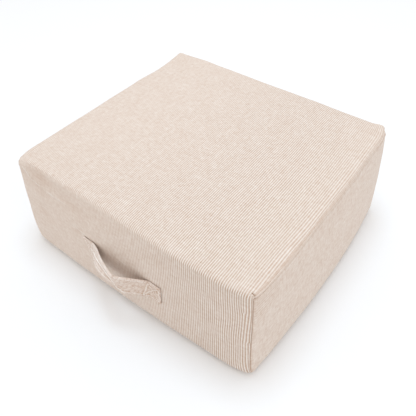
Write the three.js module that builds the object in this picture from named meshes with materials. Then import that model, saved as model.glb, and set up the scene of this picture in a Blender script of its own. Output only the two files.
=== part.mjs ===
// Jumping cushion: a foam block in a fitted cover of ribbed cotton, with one carrying handle
// sewn to its front face.
// Frame: millimetres, +Z up, front face towards -Y, origin in the middle of the flat base.
import * as THREE from 'three';
import { mergeVertices } from 'three/addons/utils/BufferGeometryUtils.js';

// ---- driving dimensions ----
const WIDTH = 650; // left to right, between the sewn end panels
const DEPTH = 600; // front to back
const HEIGHT = 275; // base to the top edges, below the crown
const CROWN = 6; // how far the middle of the top stands above its edges
const EDGE = { plan: 14, rise: 12 }; // rounding of every edge, seen from above and from the side
const CELL = 30; // size of the mesh cells on the flat parts of the faces
const ROUND_STEPS = 3; // mesh cells over one half of an edge's rounding
const BELLY = 3; // how far each side swells half way up

// How far the middle of each side stands out past the straight line between its corners
const SIDES = {
  front: { atTop: 1.7, atBase: 4.5 },
  right: { atTop: 3, atBase: 12 },
  back: { atTop: 4.3, atBase: 4 },
  left: { atTop: -3, atBase: 4 },
};
// The fold between top and front leans out towards the right and in towards the left
const FRONT_FOLD_WAVE = 5;

// How far each corner is drawn in towards the middle of the block
const CORNERS = [
  { x: 1, y: -1, top: 5, base: 8 }, // front right
  { x: -1, y: -1, top: 1, base: 4 }, // front left
  { x: 1, y: 1, top: 6, base: 2 }, // back right
  { x: -1, y: 1, top: 0, base: 4 }, // back left
];
const CORNER_REACH = 70; // distance over which a drawn-in corner fades out

// The handle: a doubled strap of the same cloth, sewn flat at both ends and bowed out between
const STRAP = { width: 50, thickness: 3, gap: 0.4, slope: -0.045 };
const STRAP_CENTRE = { x: -1, z: 125 };
const STRAP_STATIONS = [
  // x along the front, how far the strap's top and bottom edges stand out from the face
  { x: -112, top: 0, bottom: 0 },
  { x: -95, top: 0, bottom: 0 },
  { x: -80, top: 0, bottom: 2 },
  { x: -66, top: 5.5, bottom: 11 },
  { x: -48, top: 15, bottom: 18.5 },
  { x: -26, top: 24.5, bottom: 23.5 },
  { x: -4, top: 31.5, bottom: 27 },
  { x: 10, top: 34.5, bottom: 26 },
  { x: 20, top: 31, bottom: 23.5 },
  { x: 34, top: 23.5, bottom: 19 },
  { x: 49, top: 15, bottom: 12.5 },
  { x: 65, top: 6.5, bottom: 5 },
  { x: 78, top: 0.5, bottom: 0 },
  { x: 92, top: 0, bottom: 0 },
  { x: 110, top: 0, bottom: 0 },
];
const STRAP_STEPS = 48;
const STRAP_CELLS = 3; // mesh cells across the strap

// ---- materials ----
const coverCloth = new THREE.MeshStandardMaterial({ color: 0xe3d3c6, roughness: 0.95, metalness: 0 });
const strapCloth = new THREE.MeshStandardMaterial({ color: 0xdccabc, roughness: 0.95, metalness: 0 });

// ---- the cushion's surface ----
const bump = (t) => Math.max(0, 1 - t * t);

// Moves a point of the plain rounded block to where the filled cover really has it
function shapeCover(p) {
  const u = p.x / (WIDTH / 2);
  const v = p.y / (DEPTH / 2);
  const h = THREE.MathUtils.clamp(p.z / HEIGHT, 0, 1);
  const belly = BELLY * Math.sin(Math.PI * h);
  const stand = (side) => side.atTop * h + side.atBase * (1 - h) + belly;
  const q = p.clone();
  q.x += bump(v) * (stand(SIDES.right) * Math.max(u, 0) ** 2 - stand(SIDES.left) * Math.max(-u, 0) ** 2);
  q.y += bump(u) * (stand(SIDES.back) * Math.max(v, 0) ** 2 - stand(SIDES.front) * Math.max(-v, 0) ** 2);
  q.y -= FRONT_FOLD_WAVE * Math.sin(Math.PI * u) * h ** 6 * Math.max(-v, 0) ** 8;
  q.z += CROWN * h ** 4 * bump(u * u) * bump(v * v);
  for (const corner of CORNERS) {
    const distance = Math.hypot(p.x - corner.x * WIDTH / 2, p.y - corner.y * DEPTH / 2);
    const nearness = Math.max(0, 1 - distance / CORNER_REACH) ** 2;
    const pull = nearness * (corner.top * h ** 3 + corner.base * (1 - h) ** 3);
    q.x -= corner.x * pull;
    q.y -= corner.y * pull;
  }
  return q;
}

// Cell borders along one axis: even over the flat part, finer round the edges
function borders(length, round) {
  const flat = length / 2 - round;
  const count = Math.round(2 * flat / CELL);
  const list = [];
  for (let i = 0; i <= count; i += 1) {
    list.push(-flat + 2 * flat * i / count);
  }
  for (let k = 1; k <= ROUND_STEPS; k += 1) {
    const step = round * Math.tan(Math.PI / 4 * k / ROUND_STEPS);
    list.push(flat + step);
    list.unshift(-flat - step);
  }
  return list;
}

// Rounds a point of the sharp block: what stands past the inner block is put on a round of EDGE
function roundBlock(x, y, z) {
  const inner = new THREE.Vector3(
    THREE.MathUtils.clamp(x, -WIDTH / 2 + EDGE.plan, WIDTH / 2 - EDGE.plan),
    THREE.MathUtils.clamp(y, -DEPTH / 2 + EDGE.plan, DEPTH / 2 - EDGE.plan),
    THREE.MathUtils.clamp(z, -HEIGHT / 2 + EDGE.rise, HEIGHT / 2 - EDGE.rise),
  );
  const over = new THREE.Vector3(
    (x - inner.x) / EDGE.plan,
    (y - inner.y) / EDGE.plan,
    (z - inner.z) / EDGE.rise,
  ).normalize();
  return new THREE.Vector3(
    inner.x + EDGE.plan * over.x,
    inner.y + EDGE.plan * over.y,
    inner.z + EDGE.rise * over.z + HEIGHT / 2,
  );
}

// One face of the block as a grid of quads, with its front towards the outside
function addFace(positions, across, along, place) {
  for (let i = 0; i + 1 < across.length; i += 1) {
    for (let j = 0; j + 1 < along.length; j += 1) {
      const a = place(across[i], along[j]);
      const b = place(across[i + 1], along[j]);
      const c = place(across[i + 1], along[j + 1]);
      const d = place(across[i], along[j + 1]);
      for (const corner of [a, b, c, a, c, d]) {
        positions.push(corner.x, corner.y, corner.z);
      }
    }
  }
}

function closedGeometry(positions) {
  const geometry = new THREE.BufferGeometry();
  geometry.setAttribute('position', new THREE.Float32BufferAttribute(positions, 3));
  return mergeVertices(geometry, 1e-3);
}

function makeCushion() {
  const xs = borders(WIDTH, EDGE.plan);
  const ys = borders(DEPTH, EDGE.plan);
  const zs = borders(HEIGHT, EDGE.rise);
  const cover = (x, y, z) => shapeCover(roundBlock(x, y, z));
  const positions = [];
  addFace(positions, xs, ys, (x, y) => cover(x, y, HEIGHT / 2));
  addFace(positions, ys, xs, (y, x) => cover(x, y, -HEIGHT / 2));
  addFace(positions, xs, zs, (x, z) => cover(x, -DEPTH / 2, z));
  addFace(positions, zs, xs, (z, x) => cover(x, DEPTH / 2, z));
  addFace(positions, ys, zs, (y, z) => cover(WIDTH / 2, y, z));
  addFace(positions, zs, ys, (z, y) => cover(-WIDTH / 2, y, z));
  const cushion = new THREE.Mesh(closedGeometry(positions), coverCloth);
  cushion.name = 'cushion';
  return cushion;
}

// ---- the handle ----
// Smooth curve through the stations' values, read at x
function standOut(x, edge) {
  const last = STRAP_STATIONS.length - 1;
  const found = STRAP_STATIONS.findIndex((station) => station.x > x);
  const i = found < 0 ? last - 1 : Math.max(found - 1, 0);
  const at = (k) => STRAP_STATIONS[THREE.MathUtils.clamp(k, 0, last)];
  const slope = (k) => (at(k + 1)[edge] - at(k - 1)[edge]) / (at(k + 1).x - at(k - 1).x);
  const span = at(i + 1).x - at(i).x;
  const t = (x - at(i).x) / span;
  const rise = at(i + 1)[edge] - at(i)[edge];
  const start = slope(i) * span;
  const end = slope(i + 1) * span;
  const value = at(i)[edge] + start * t + (3 * rise - 2 * start - end) * t * t
    + (start + end - 2 * rise) * t * t * t;
  return Math.max(0, value);
}

// The front face's own place at a width and height
function frontFace(x, z) {
  return shapeCover(new THREE.Vector3(x, -DEPTH / 2, z)).y;
}

function makeHandle() {
  const first = STRAP_STATIONS[0].x;
  const span = STRAP_STATIONS[STRAP_STATIONS.length - 1].x - first;
  // side 0 is the back of the strap, 1 its outer face; across runs from 0 at the bottom edge to 1
  const point = (step, across, side) => {
    const x = first + span * step / STRAP_STEPS;
    const z = STRAP_CENTRE.z + STRAP.slope * (x - STRAP_CENTRE.x) + STRAP.width * (across - 0.5);
    const out = standOut(x, 'bottom') * (1 - across) + standOut(x, 'top') * across;
    const reach = 0.5;
    const lean = (standOut(x + reach, 'top') - standOut(x - reach, 'top')) / (2 * reach);
    const thick = side * STRAP.thickness;
    const turn = Math.atan(lean);
    const back = frontFace(x, z) - STRAP.gap - out;
    return new THREE.Vector3(x - thick * Math.sin(turn), back - thick * Math.cos(turn), z);
  };
  const steps = Array.from({ length: STRAP_STEPS + 1 }, (_, i) => i);
  const cells = Array.from({ length: STRAP_CELLS + 1 }, (_, i) => i / STRAP_CELLS);
  const sides = [0, 1];
  const positions = [];
  addFace(positions, steps, cells, (s, w) => point(s, w, 1));
  addFace(positions, cells, steps, (w, s) => point(s, w, 0));
  addFace(positions, steps, sides, (s, k) => point(s, 0, k));
  addFace(positions, sides, steps, (k, s) => point(s, 1, k));
  addFace(positions, sides, cells, (k, w) => point(0, w, k));
  addFace(positions, cells, sides, (w, k) => point(STRAP_STEPS, w, k));
  const handle = new THREE.Mesh(closedGeometry(positions), strapCloth);
  handle.name = 'handle';
  return handle;
}

const jumpingCushion = new THREE.Group();
jumpingCushion.add(makeCushion(), makeHandle());

export default jumpingCushion;
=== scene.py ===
"""Jumping cushion: a foam block in a fitted cover of ribbed cotton, with a carrying strap on its front.

The cover's wrapping strip goes over the top, front, base and back, and an end panel closes each side.
Lengths are in millimetres in the formulas and become metres when they are put into a mesh.
"""

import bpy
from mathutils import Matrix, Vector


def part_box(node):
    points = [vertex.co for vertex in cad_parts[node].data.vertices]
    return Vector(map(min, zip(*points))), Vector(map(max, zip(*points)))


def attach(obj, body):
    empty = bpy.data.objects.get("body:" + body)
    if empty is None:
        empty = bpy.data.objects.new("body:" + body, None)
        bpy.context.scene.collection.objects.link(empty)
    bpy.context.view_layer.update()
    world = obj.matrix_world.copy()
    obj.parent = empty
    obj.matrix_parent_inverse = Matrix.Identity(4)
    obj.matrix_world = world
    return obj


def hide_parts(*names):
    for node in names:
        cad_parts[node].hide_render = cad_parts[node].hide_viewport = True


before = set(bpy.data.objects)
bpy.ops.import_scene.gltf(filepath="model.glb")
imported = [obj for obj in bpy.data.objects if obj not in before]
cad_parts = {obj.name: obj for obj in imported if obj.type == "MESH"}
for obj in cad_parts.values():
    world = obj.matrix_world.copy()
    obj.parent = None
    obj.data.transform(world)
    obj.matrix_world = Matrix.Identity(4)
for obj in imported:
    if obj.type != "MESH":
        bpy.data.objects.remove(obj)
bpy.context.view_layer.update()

import math

import bpy
import numpy as np
from bpy.props import FloatProperty, FloatVectorProperty, IntProperty, PointerProperty
from mathutils import Euler, Matrix, Vector

bl_info = {
    "name": "Jumping cushion",
    "version": (1, 0, 0),
    "blender": (4, 5, 0),
    "location": "3D View > Sidebar > Cushion",
    "description": "Sews the cover, the carrying strap and its stitching, and sets the stage",
    "category": "Object",
}

MM = 0.001
BODY = "root"

# ---- the cushion's form, in millimetres ----
# How far the middle of each side stands out past the straight line between its corners. At the base it
# stands out by the skew's share more towards the side's right or back end, and less towards the other
SIDES = {
    "front": {"at_top": 1.7, "at_base": 10.2, "skew": 0.12},
    "right": {"at_top": 3.0, "at_base": 18.0, "skew": 0.2},
    "back": {"at_top": 4.3, "at_base": 5.5, "skew": 0.0},
    "left": {"at_top": -5.0, "at_base": 5.5, "skew": 0.0},
}
# How far the fold between top and front leans out towards the right and in towards the left
FRONT_FOLD_WAVE = 5.0
# How far the flat base is tucked in under the middle of each side, and the height where that ends
BASE_TUCK = {"front": 19.0, "right": 28.0, "back": 19.0, "left": 19.0, "below": 21.0}
# How far each upright edge is drawn in, and over what distance that fades out
CORNERS = np.array(
    [
        # x side, y side, at the top, a quarter of the way up, at the base
        (1, -1, 5, 0, 5.5),
        (-1, -1, 1, -4, 5.5),
        (1, 1, 10, 0, -1),
        (-1, 1, 1.5, 0, 4),
    ],
    float,
)
CORNER_REACH = 70.0
# With h from 0 at the base to 1 at the top, h (1 - h)^3 peaks at a quarter, and this makes its peak one
QUARTER_PEAK = 9.5
# The cloth's corners and edges are pushed by the foam or pulled by the seams
TIPS = np.array(
    [
        # x, y, z, how far it moves in x, y and z, reach
        (-325, -300, 275, 0.0, 1.0, -9.0, 26),
        (-325, -300, 270, 1.0, -0.5, -3.0, 10),
        (309, 300, 275, -1.5, 2.5, 6.5, 21),
        (-318, 300, 275, 1.0, 1.0, 2.0, 11),
        (318, 300, 275, 1.2, 1.2, 3.0, 9),
        (-325, 225, 275, 3.0, 0.0, -3.5, 60),
        (-325, 165, 275, 2.2, 0.0, -1.6, 40),
        (-225, 300, 275, 0.0, 2.0, 1.5, 35),
        (325, -300, 0, 4.0, 4.0, 0.0, 26),
    ],
    float,
)

# Sizes of the cover's mesh cells in the middle of a side, from its left part to its right one, and at its
# ends, where they begin to shrink at the first distance and are smallest from the second
CELLS = {"x": (3.6, 7.0), "y": (7.5, 7.5), "z": (3.4, 3.4), "ends": 1.4, "shrink": (50.0, 18.0)}
# The swelling is worked out on a coarser net of this cell size, as cloth with these settings
SWELLING_CELL = 13.0
SWELLING_CLOTH = {"quality": 4, "mass": 0.3, "use_pressure": True}
SWELLING_STIFFNESS = {"tension": 20, "compression": 20, "shear": 10, "bending": 2}

# The seams of the end panels lie inside the panels' faces by these distances from the block's edges
SEAM_DROP = {"top_ends": 8.4, "top_middle": 15.4, "front_top": 0.4, "front_base": 4.0, "back": 4.0}
BASE_SEAM_HEIGHT = 2.0
# Beside a level seam the allowance inside makes two soft rolls with a narrow line between them. Each has its
# distance from the seam, its width and its height, and the band that they make ends at a distance too
ROLLS = {"first": (4.3, 2.4, 0.6), "line": (8.3, 1.2, -0.6), "second": (13.0, 3.2, 0.5)}
BAND_END = 15.8

# Dents where seams meet at the top corners, and small ones down the near upright edge, each with painted
# shade in the cotton's colour
DENTS = np.array(
    [
        # from x, y, z, to x, y, z, radius, depth
        (315.0, -291.5, 275.0, 325.0, -295.0, 274.0, 1.7, 3.4),
        (325.0, -295.0, 268.5, 325.0, -298.0, 269.5, 1.3, 1.6),
        (325.0, 292.0, 270.0, 325.0, 296.0, 264.0, 3.0, 3.0),
        (-325.0, -292.0, 268.0, -325.0, -297.0, 262.0, 3.0, 3.0),
        (-325.0, 292.0, 268.0, -325.0, 297.0, 262.0, 3.0, 3.0),
        (325.0, -296.2, 60.0, 325.0, -296.2, 64.0, 1.5, 1.0),
        (325.0, -292.5, 20.0, 325.0, -292.5, 24.0, 1.5, 1.0),
        (316.3, -300.0, 20.0, 316.3, -300.0, 24.0, 1.5, 1.0),
    ]
)

# Creases in the front's cloth, where a negative height is a trough; the cotton also gets a painted highlight
# along each crease and painted shade in each trough
CREASES = np.array(
    [
        # from x, z, to x, z, width, height
        (-308, 264, -272, 228, 2.0, 1.5),
        (-279, 233, -240, 220, 2.0, 1.2),
        (-246, 221, -150, 218, 1.8, 1.2),
        (-300, 262, -180, 246, 20.0, -2.6),
        (-290, 236, -210, 198, 16.0, -1.8),
        (-200, 236, -90, 222, 20.0, -2.0),
        (-244, 112, -204, 101, 1.8, 0.7),
        (-285, 150, -215, 128, 12.0, -1.6),
        (-150, 170, -84, 152, 1.8, 1.0),
        (-160, 158, -118, 150, 8.0, -1.8),
        (-20, 152, 22, 151, 1.8, 0.7),
        (-58, 104, -26, 101, 1.8, 0.8),
        (60, 200, 130, 236, 16.0, -1.0),
        (170, 60, 250, 30, 14.0, -0.9),
    ],
    float,
)

# How the ribs leave their even spacing: how far they bow outwards along the top's edges, by what share of
# the way they open out over the edges' rounding, and how much they spread over the front, by one share of
# the way past a place right of the middle and by a larger one near the right end. Two set in softly
RIB_BOW = 3.2
RIB_OPENING = {"from": 300.0, "share": 0.18, "soften": 8.0}
RIB_SPREAD = {"from": 100.0, "share": 0.03, "end_from": 235.0, "end_share": 0.19, "soften": 30.0}
# Where the cloth is stretched over the front's right end, ribs fork: x, z and how many more lie below
RIB_FORKS = ((303.7, 219.0, -1), (319.0, 133.0, 1))
# How strong the ribs look, in their bump and in the grooves' browner colour, which is partly painted shade:
# on the front from its left to its right end, on the top at its left end and over the rest, and on the end
# panels
RIB_SHOW = {"front_left": 0.18, "front_right": 1.28, "top_left": 0.35, "top": 0.92, "panel": 0.15}
# The right panel's own level ribs show round this place by its near top corner
LEVEL_RIBS = {"y": -276.0, "z": 234.0, "reach": 42.0}
# The cuts lie these distances apart on the flat, so that no two share a place
APART = {"base": 300.0, "back_edge": 900.0, "panel": 2000.0}

# The strap: how far its top edge, its lengthwise fold and its bottom edge stand out from the front, and
# where the fold lies across it, from 0 at the bottom edge to 1 at the top
STRAP = np.array(
    [
        # x, top, fold, bottom, fold across
        (-112, 0.0, 0.0, 0.0, 0.66),
        (-95, 0.0, 0.0, 0.8, 0.58),
        (-83, 0.2, 1.4, 6.0, 0.50),
        (-66, 5.5, 8.6, 16.0, 0.43),
        (-48, 15.0, 13.6, 22.5, 0.35),
        (-26, 24.5, 18.6, 25.4, 0.25),
        (-4, 32.0, 23.0, 25.6, 0.16),
        (8, 34.5, 25.0, 25.6, 0.10),
        (20, 31.0, 25.2, 25.2, 0.05),
        (34, 23.5, 22.8, 22.8, 0.02),
        (49, 15.0, 14.2, 14.2, 0.02),
        (65, 6.5, 6.0, 6.0, 0.02),
        (78, 0.5, 0.3, 0.3, 0.02),
        (92, 0.0, 0.0, 0.0, 0.02),
        (110, 0.0, 0.0, 0.0, 0.02),
    ]
)
STRAP_LENGTH = STRAP[-1, 0] - STRAP[0, 0]
FOLD_ACROSS = 4
# The strap's middle on the front, how much it climbs to the right, and its gap to the cover
STRAP_CENTRE = {"x": -1.0, "z": 125.0, "slope": -0.045}
STRAP_GAP = 0.8
# The left end is sewn on a slant: how far its top lies to the left of its bottom, the place across that
# keeps its width, and where the slant stops
STRAP_SLANT = {"far": 20.0, "pivot": 0.88, "until": -58.0}

# The stitched box at each end of the strap, as corners on the flat cut: along, across
STITCHED_BOXES = (
    ((4.0, 4.5), (27.0, 4.5), (27.0, 45.5), (4.0, 45.5)),
    ((178.0, 4.5), (218.0, 4.5), (217.0, 45.5), (190.0, 45.5)),
)
# Between the boxes a row of stitches runs along each edge
STRAP_EDGE_ROWS = {"from_edge": 3.2, "start": 27.0, "end": 190.0}
# A crosswise fold lies at the strap's highest place: its x at the bottom edge, and how far left its top is
CROSS_FOLD = {"x": 24.0, "left": 20.0}
# Both faces of the strap meet in a rounded rim of this width, with its fine cells over the second one
STRAP_RIM = 1.6
RIM_CELLS = 1.8

# Grains of the cotton: sizes in x and y on the flat cut in millimetres, detail, and weight in the colour.
# The cover's ribs run along y and the strap's along x
RIBBED_GRAINS = {
    "slub": (2.2, 7.0, 2.0, 0.45),
    "weft streaks": (26, 1.8, 1, 0.5),
    "rib streaks": (2.3, 40, 1, 0.4),
    "spots": (9, 9, 1, 0.45),
    "clouds": (45, 45, 2, 0.2),
    "fibre": (0.8, 0.8, 1.0, 0.0),
}
STRAP_GRAINS = {"slub": (9.0, 2.0, 2.0, 1.1), "spots": (6.0, 6.0, 1.0, 0.7), "fibre": (0.8, 0.8, 1.0, 0.0)}
# The cover's mean tone between the grooves' colour and the ribs', and how much a crease's height moves it: a
# painted highlight on a ridge and painted shade in a trough
MEAN_TONE = 0.645
CREASE_PAINTED_LIGHT = {"ridge": 0.33, "trough": 0.08}
# Cotton's own gloss, and the short pile that lightens it where it turns away. Slubs are a little rougher
COTTON = {"IOR": 1.5, "Specular IOR Level": 0.15, "Sheen Weight": 0.2, "Sheen Roughness": 0.5}
COTTON_ROUGH = {"least": 0.86, "slubs": 0.1}

# How far the floor reaches to each side, in millimetres, and where the soft boxes look, in metres
FLOOR_REACH = 15000.0
LIT_MIDDLE = Vector((0, 0, 0.15))
# The camera's place in millimetres, its turns about x, y and z in degrees, and its shift
CAMERA = {
    "place": (581.06, -764.65, 1043.15),
    "turns": (50.268, 0.607, 36.594),
    "shift": (-0.0012, -0.1351),
}


def linear(colour):
    """A hex colour such as #e3d3c6 turned from sRGB to the linear values that Blender works in."""
    parts = [int(colour[i : i + 2], 16) / 255 for i in (1, 3, 5)]
    return tuple(c / 12.92 if c <= 0.04045 else ((c + 0.055) / 1.055) ** 2.4 for c in parts)


# ---------------------------------------------------------------- what a user may change
class CoverSizes(bpy.types.PropertyGroup):
    """Sizes and colours of the cushion's cover."""

    width: FloatProperty(name="Width", description="Block's width", default=0.65, unit="LENGTH")
    depth: FloatProperty(name="Depth", description="Block's depth", default=0.6, unit="LENGTH")
    crown: FloatProperty(name="Crown", description="Rise of the top's middle", default=0.006, unit="LENGTH")
    base_rise: FloatProperty(
        name="Base rounding", description="Height of the base's rounding", default=0.019, unit="LENGTH"
    )
    belly: FloatProperty(name="Belly", description="Swell of each side", default=0.003, unit="LENGTH")
    edge_plan: FloatProperty(
        name="Edge rounding, plan", description="Rounding seen from above", default=0.014, unit="LENGTH"
    )
    edge_rise: FloatProperty(
        name="Edge rounding, rise", description="Rounding seen from the side", default=0.012, unit="LENGTH"
    )
    rib_spacing: FloatProperty(
        name="Rib spacing", description="From one rib to the next", default=0.00456, unit="LENGTH"
    )
    rib_height: FloatProperty(
        name="Rib height", description="From groove to rib", default=0.0007, unit="LENGTH"
    )
    seam_depth: FloatProperty(
        name="Seam depth", description="How far the seams draw in", default=0.0022, unit="LENGTH"
    )
    fill: FloatProperty(name="Fill", description="How tight the cover is", default=0.9, subtype="FACTOR")
    pressure: FloatProperty(name="Pressure", description="Swelling pressure of the filling", default=4.0)
    settle_frames: IntProperty(name="Frames", description="Steps that the swelling takes", default=20)
    rib_colour: FloatVectorProperty(
        name="Ribs", description="Cotton on the ribs", default=linear("#e4d9cf"), subtype="COLOR"
    )
    # the grooves' colour is partly the weave's and partly painted shade in the grooves
    groove_colour_and_shade: FloatVectorProperty(
        name="Grooves", description="Cotton between the ribs", default=linear("#c0a38e"), subtype="COLOR"
    )


class StrapSizes(bpy.types.PropertyGroup):
    """Sizes and colours of the carrying strap and its thread."""

    width: FloatProperty(name="Width", description="Strap's width", default=0.05, unit="LENGTH")
    thickness: FloatProperty(name="Thickness", description="Of doubled cloth", default=0.003, unit="LENGTH")
    stitch_length: FloatProperty(
        name="Stitch length", description="Length of one stitch", default=0.0032, unit="LENGTH"
    )
    stitch_pitch: FloatProperty(
        name="Stitch pitch", description="From one stitch to the next", default=0.0044, unit="LENGTH"
    )
    thread_radius: FloatProperty(
        name="Thread radius", description="Half the thread's thickness", default=0.0007, unit="LENGTH"
    )
    cloth_colour: FloatVectorProperty(
        name="Strap", description="Cotton of the strap", default=linear("#e6dad1"), subtype="COLOR"
    )
    thread_colour: FloatVectorProperty(
        name="Thread", description="Sewing thread", default=linear("#f6efe8"), subtype="COLOR"
    )


class StageLook(bpy.types.PropertyGroup):
    """The floor, the lights and the camera."""

    floor_colour: FloatVectorProperty(
        name="Floor", description="Pale floor", default=linear("#f4f5f6"), subtype="COLOR"
    )
    sky: FloatProperty(name="Sky", description="Strength of the even light all round", default=0.955)
    sky_colour: FloatVectorProperty(
        name="Sky colour", description="Tint of the even light", default=(1.0, 0.973, 0.948), subtype="COLOR"
    )
    overhead: FloatProperty(name="Overhead lamp", description="Soft box above", default=27.0, unit="POWER")
    side: FloatProperty(name="Side lamp", description="Soft box on the right", default=4.1, unit="POWER")
    lamp_colour: FloatVectorProperty(
        name="Lamp colour", description="Tint of both soft boxes", default=(0.69, 0.85, 1.0), subtype="COLOR"
    )
    lens: FloatProperty(name="Lens", description="Focal length", default=45.69, unit="CAMERA")


# ---------------------------------------------------------------- shared shape formulas
def bump(t):
    """One minus t squared, and never below nought."""
    return np.maximum(0.0, 1 - t * t)


def ease(low, high, value):
    """Smooth step: nought below low, one above high, and 3t squared less 2t cubed between."""
    t = np.clip((value - low) / (high - low), 0, 1)
    return t * t * (3 - 2 * t)


def hill(distance, width):
    """Bell curve: e to the power of minus (distance over width) squared."""
    return np.exp(-((distance / width) ** 2))


class Form:
    """The block's sizes in millimetres, taken from the cover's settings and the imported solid."""

    def __init__(self, sizes):
        low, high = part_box("cushion")
        self.width = sizes.width / MM
        self.depth = sizes.depth / MM
        self.crown = sizes.crown / MM
        self.belly = sizes.belly / MM
        self.height = (high.z - low.z) / MM - self.crown
        self.half = np.array([self.width, self.depth, self.height]) / 2
        self.edge = np.array([sizes.edge_plan, sizes.edge_plan, sizes.edge_rise]) / MM
        self.base_rise = sizes.base_rise / MM

    def rounded(self, block):
        """Points of the sharp block put on its rounding: what stands past the inner block is divided by the
        edge's radii, brought to length one and set back on them. Returns the points and their normals."""
        edge = np.broadcast_to(self.edge, block.shape).copy()
        edge[..., 2] = np.where(block[..., 2] < 0, self.base_rise, self.edge[2])
        inner = np.clip(block, edge - self.half, self.half - edge)
        normal = (block - inner) / edge
        normal /= np.maximum(np.linalg.norm(normal, axis=-1, keepdims=True), 1e-9)
        points = inner + edge * normal
        points[..., 2] += self.half[2]
        return points, normal

    def bowed(self, points, crown, belly):
        """Each side stands out by its amounts at the top, base and half way up, times the square of the
        place towards it. Near the floor it is tucked in, the most at the base, less by the square of the way
        up to the tuck's end. The front's fold waves, the top crowns, the upright edges are drawn in by their
        three amounts over a reach, and the tips move by a bell curve of the distance from them."""
        x, y, z = np.moveaxis(points, -1, 0)
        u, v, h = x / self.half[0], y / self.half[1], np.clip(z / self.height, 0, 1)
        swell = belly * np.sin(np.pi * h)
        place = {"front": u, "back": u, "right": v, "left": v}
        stand = {
            name: side["at_top"] * h + side["at_base"] * (1 - h) * (1 + side["skew"] * place[name]) + swell
            for name, side in SIDES.items()
        }
        right, left = np.maximum(u, 0) ** 2, np.maximum(-u, 0) ** 2
        back, front = np.maximum(v, 0) ** 2, np.maximum(-v, 0) ** 2
        moved = points.copy()
        moved[..., 0] += bump(v) * (stand["right"] * right - stand["left"] * left)
        moved[..., 1] += bump(u) * (stand["back"] * back - stand["front"] * front)
        low = np.maximum(0, 1 - z / BASE_TUCK["below"]) ** 2
        moved[..., 0] -= low * bump(v) * (BASE_TUCK["right"] * right - BASE_TUCK["left"] * left)
        moved[..., 1] -= low * bump(u) * (BASE_TUCK["back"] * back - BASE_TUCK["front"] * front)
        moved[..., 1] -= FRONT_FOLD_WAVE * np.sin(np.pi * u) * h**6 * front**4
        moved[..., 2] += crown * h**4 * bump(u * u) * bump(v * v)
        for x_side, y_side, top, middle, base in CORNERS:
            away = np.hypot(x - x_side * self.half[0], y - y_side * self.half[1])
            amount = top * h**3 + middle * QUARTER_PEAK * h * (1 - h) ** 3 + base * (1 - h) ** 3
            pull = np.maximum(0, 1 - away / CORNER_REACH) ** 2 * amount
            moved[..., 0] -= x_side * pull
            moved[..., 1] -= y_side * pull
        for tip in TIPS:
            away = np.linalg.norm(points - tip[:3], axis=-1)
            moved += hill(away, tip[6])[..., None] * tip[3:6]
        return moved

    def front_face(self, x, z):
        """Where the front lies at a width and height, as its y."""
        points = np.stack(np.broadcast_arrays(x, -self.half[1], z), -1).astype(float)
        return self.bowed(points, self.crown, self.belly)[..., 1]

    def rib_shift(self, x, y, z):
        """How far the ribs have moved outwards from an even spacing: they bow with the edge along the top,
        open out over its rounding, at first with the square of the way, and spread over the front's right
        end, where the cloth is stretched, the more the lower they lie."""
        outwards = np.sign(x)
        bow = RIB_BOW * ease(150, self.half[0], np.abs(x)) * bump(np.abs(y / self.half[1]) ** 0.8)
        over = np.maximum(0, np.abs(x) - RIB_OPENING["from"])
        soft = RIB_OPENING["soften"]
        rounding = RIB_OPENING["share"] * np.where(over > soft, over - soft / 2, over**2 / (2 * soft))
        near_end = np.maximum(0, x - RIB_SPREAD["end_from"])
        spread = RIB_SPREAD["share"] * np.maximum(0, x - RIB_SPREAD["from"])
        spread += RIB_SPREAD["end_share"] * near_end**2 / (near_end + RIB_SPREAD["soften"])
        down = 0.1 * ease(self.height - 5, self.height - 75, z) + 0.32 * ease(150, 5, z)
        on_front = (0.25 * ease(-235, -300, y) + down) * (y < 0)
        return outwards * (bow * ease(150, 230, z) + rounding) + spread * on_front


def cell_borders(half, left, right):
    """Borders of a side's cells, which change size smoothly from its left part to its right one and become
    fine at both ends: one over the wanted size is summed along the side, and the sum is cut into equal
    shares."""
    place = np.linspace(-half, half, 4001)
    middle = (place[1:] + place[:-1]) / 2
    size = left + (right - left) * ease(-110, 20, middle)
    wide, narrow = CELLS["shrink"]
    size = CELLS["ends"] + (size - CELLS["ends"]) * ease(narrow, wide, half - np.abs(middle))
    share = np.concatenate([[0], np.cumsum(np.diff(place) / size)])
    count = int(round(share[-1]))
    return np.interp(np.linspace(0, share[-1], count + 1), share, place)


def block_faces(xs, ys, zs):
    """The sharp block's six faces as grids of points, each running so that its front is outside."""

    def face(across, along, order, axis, value):
        a, b = np.meshgrid(across, along, indexing="ij")
        grid = np.empty(a.shape + (3,))
        grid[..., order[0]], grid[..., order[1]], grid[..., axis] = a, b, value
        return grid

    return {
        "top": face(xs, ys, (0, 1), 2, zs[-1]),
        "base": face(ys, xs, (1, 0), 2, zs[0]),
        "front": face(xs, zs, (0, 2), 1, ys[0]),
        "back": face(zs, xs, (2, 0), 1, ys[-1]),
        "right": face(ys, zs, (1, 2), 0, xs[-1]),
        "left": face(zs, ys, (2, 1), 0, xs[0]),
    }


def grid_quads(n):
    """The quads between the point numbers of a grid."""
    return np.stack([n[:-1, :-1], n[1:, :-1], n[1:, 1:], n[:-1, 1:]], -1).reshape(-1, 4)


def weld(grids):
    """Joins grids into one closed net: points at the same place become one. Returns the block points, the
    quads as point numbers, the number of the face that each quad lies on and each grid's point numbers."""
    flat = np.concatenate([g.reshape(-1, 3) for g in grids.values()])
    keys = np.round(flat * 1e4).astype(np.int64)
    _, first, back = np.unique(keys, axis=0, return_index=True, return_inverse=True)
    back = back.reshape(-1)
    numbers, start = {}, 0
    for name, g in grids.items():
        n = back[start : start + g[..., 0].size].reshape(g.shape[:2])
        numbers[name] = n
        start += n.size
    quads = [grid_quads(n) for n in numbers.values()]
    faces = np.repeat(np.arange(len(quads)), [len(q) for q in quads])
    return flat[first], np.concatenate(quads), faces, numbers


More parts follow.
